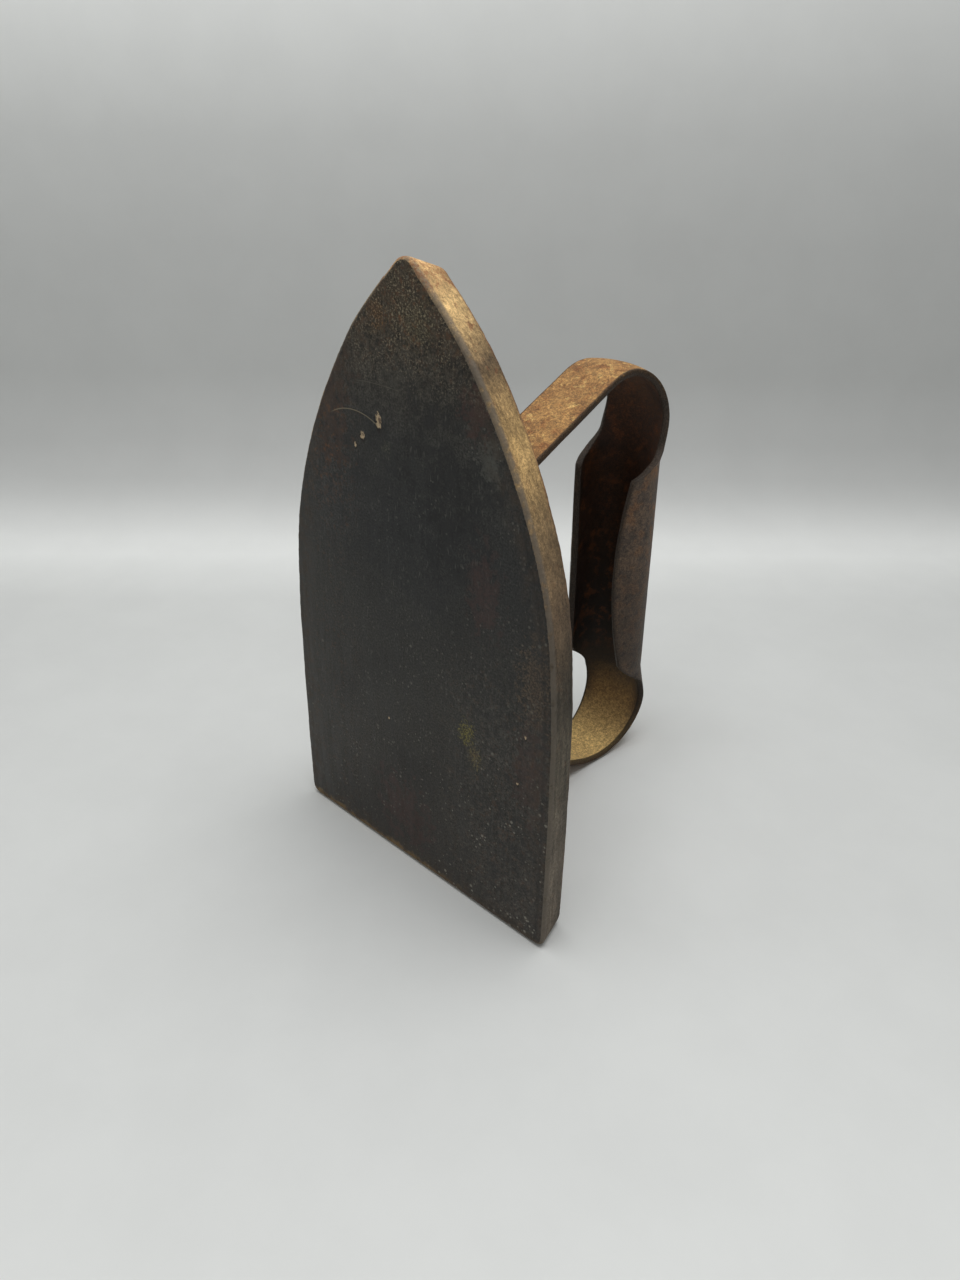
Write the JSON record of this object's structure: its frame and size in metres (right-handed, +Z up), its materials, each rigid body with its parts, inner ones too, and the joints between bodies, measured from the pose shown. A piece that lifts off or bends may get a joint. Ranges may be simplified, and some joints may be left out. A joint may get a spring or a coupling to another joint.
{
  "type": "clothes iron",
  "caption": "Old solid flat iron with a pointed plate and a bent sheet-iron strip handle curled into an open tubular grip, stood on its heel.",
  "frame": {"origin": "middle of the heel face, the flat end that the iron stands on, half-way through the plate's thickness", "axes": "+Z up from the heel to the toe, +Y from the sole towards the handle, +X across the iron, which is the same on both sides of x = 0"},
  "size_m": [0.095, 0.0989, 0.1655],
  "materials": {
    "plate_iron": "blackened and worn smooth on the sole, dusty tan rust on the sides and the top face",
    "rusted_sheet": "grainy golden-brown rust, nearly black brown inside the grip",
    "stud_iron": "dull hammered iron with brown rust"
  },
  "bodies": {
    "root": {"sole_plate": "plate_iron", "handle_strip": "rusted_sheet", "front_stud_upper": "stud_iron", "front_stud_lower": "stud_iron", "rear_stud_lower": "stud_iron", "rear_stud_upper": "stud_iron"}
  },
  "joints": []
}
